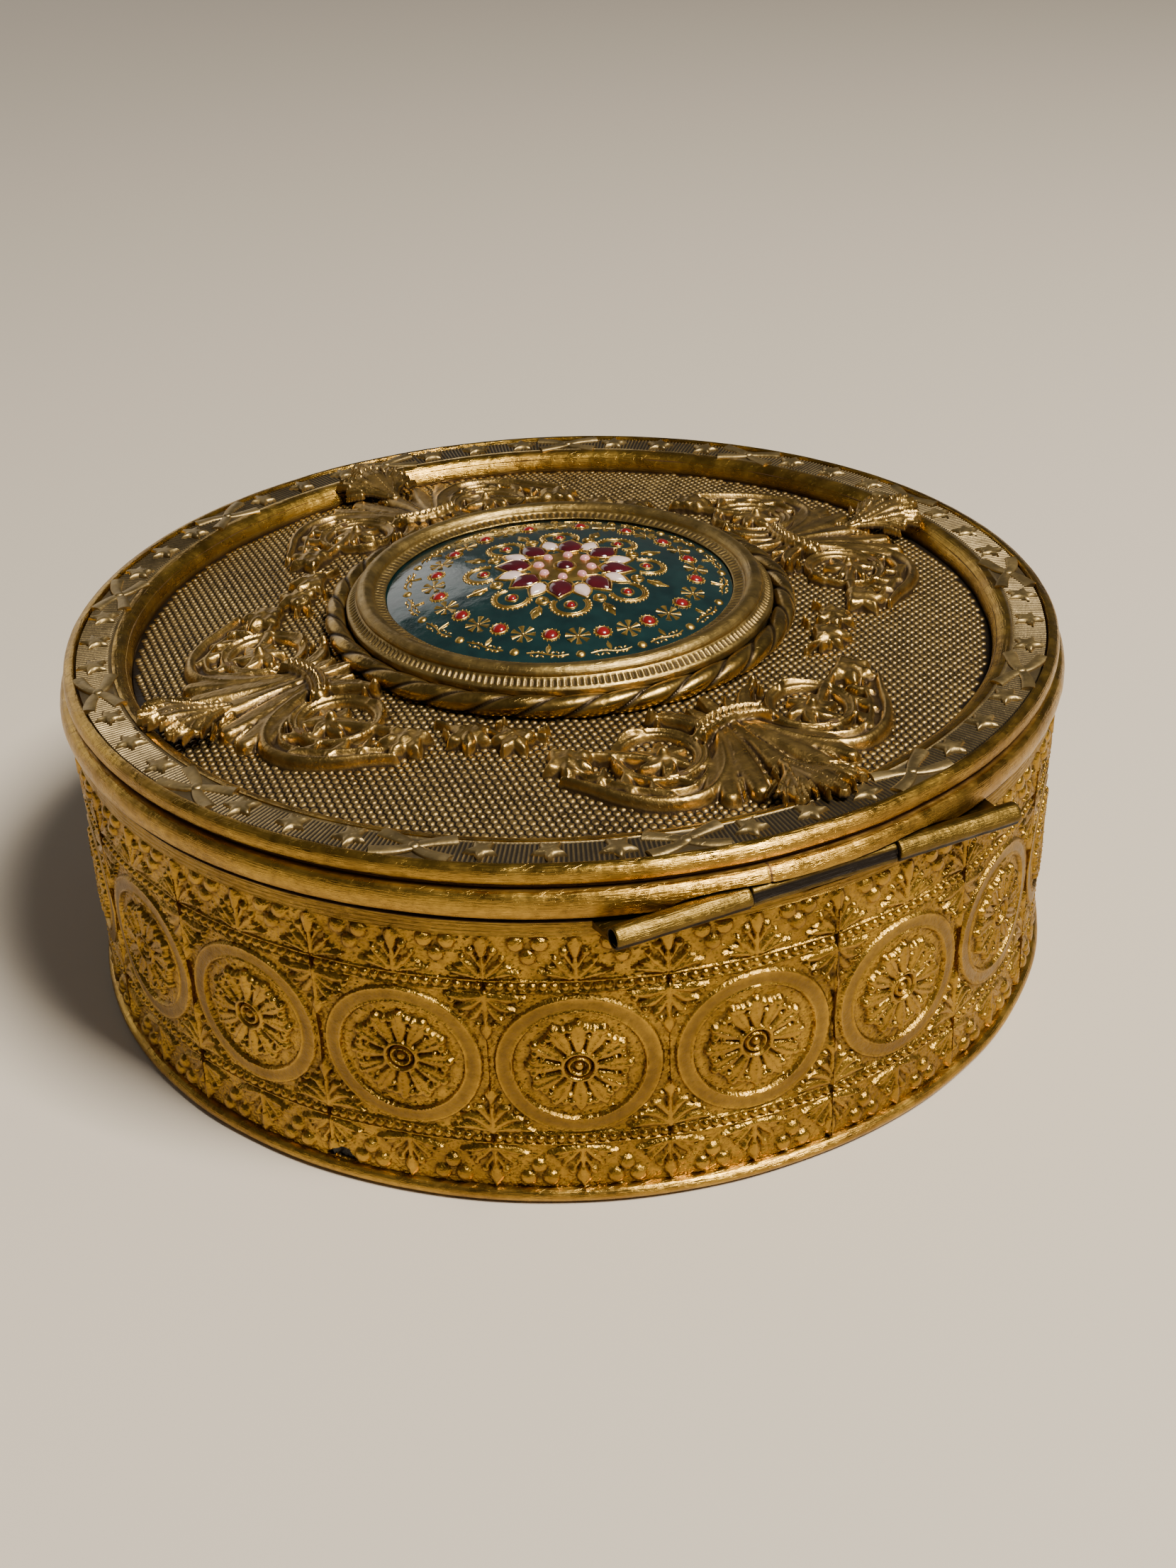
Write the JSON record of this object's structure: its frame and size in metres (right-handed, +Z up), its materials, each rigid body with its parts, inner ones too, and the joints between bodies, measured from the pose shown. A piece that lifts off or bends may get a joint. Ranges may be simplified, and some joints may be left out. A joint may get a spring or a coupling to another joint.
{
  "type": "round trinket box with hinged lid",
  "caption": "Round gilt-metal trinket box with a stamped side frieze and a back-hinged lid that carries cast openwork mounts and a domed enamel medallion.",
  "frame": {"origin": "centre of the flat underside", "axes": "+Z up, +Y towards the hinge at the back, X along the hinge"},
  "size_m": [0.1224, 0.1225, 0.0478],
  "materials": {
    "gilt_brass": "aged gilding, satin with worn bright edges",
    "plain_brass": "plain sheet, brushed and tarnished",
    "lid_brass": "toned bronze gilding",
    "dark_border": "dark grey-bronze patina, ribbed",
    "field_brass": "stamped honeycomb nubs, dark between",
    "mount_brass": "cast and burnished, dark in recesses",
    "bezel_brass": "milled and burnished",
    "enamel": "gloss fired enamel with gilt and coloured paste dots",
    "card": "matte packing card",
    "pin_steel": "dull drawn wire",
    "lining": "faded velvet"
  },
  "bodies": {
    "body": {"base_plate": "plain_brass", "base_rim": "gilt_brass", "body_wall": "gilt_brass", "frieze_band": "gilt_brass", "top_band": "gilt_brass", "body_collar": "gilt_brass", "wall_lining": "lining", "floor_pad": "lining", "hinge_knuckle_left": "gilt_brass", "hinge_knuckle_right": "gilt_brass", "hinge_pin": "pin_steel"},
    "lid": {"lid_rim": "gilt_brass", "lid_knuckle": "gilt_brass", "lid_pan": "plain_brass", "border_ring": "dark_border", "inner_bead_ring": "lid_brass", "field_plate": "field_brass", "rope_ring": "bezel_brass", "bezel": "bezel_brass", "enamel_dome": "enamel", "medallion_backing": "card", "mount_studs": "plain_brass", "mount_nuts": "plain_brass", "lid_lining": "lining", "corner_mount_1": "mount_brass", "corner_mount_2": "mount_brass", "corner_mount_3": "mount_brass", "corner_mount_4": "mount_brass", "garland_1": "mount_brass", "garland_2": "mount_brass", "garland_3": "mount_brass", "garland_4": "mount_brass"}
  },
  "joints": [
    {"name": "lid_hinge", "type": "hinge", "parent": "body", "child": "lid", "pos_m": [0, 0.0602, 0.037], "axis": [-1, 0, 0], "range_deg": [0, 100]}
  ]
}
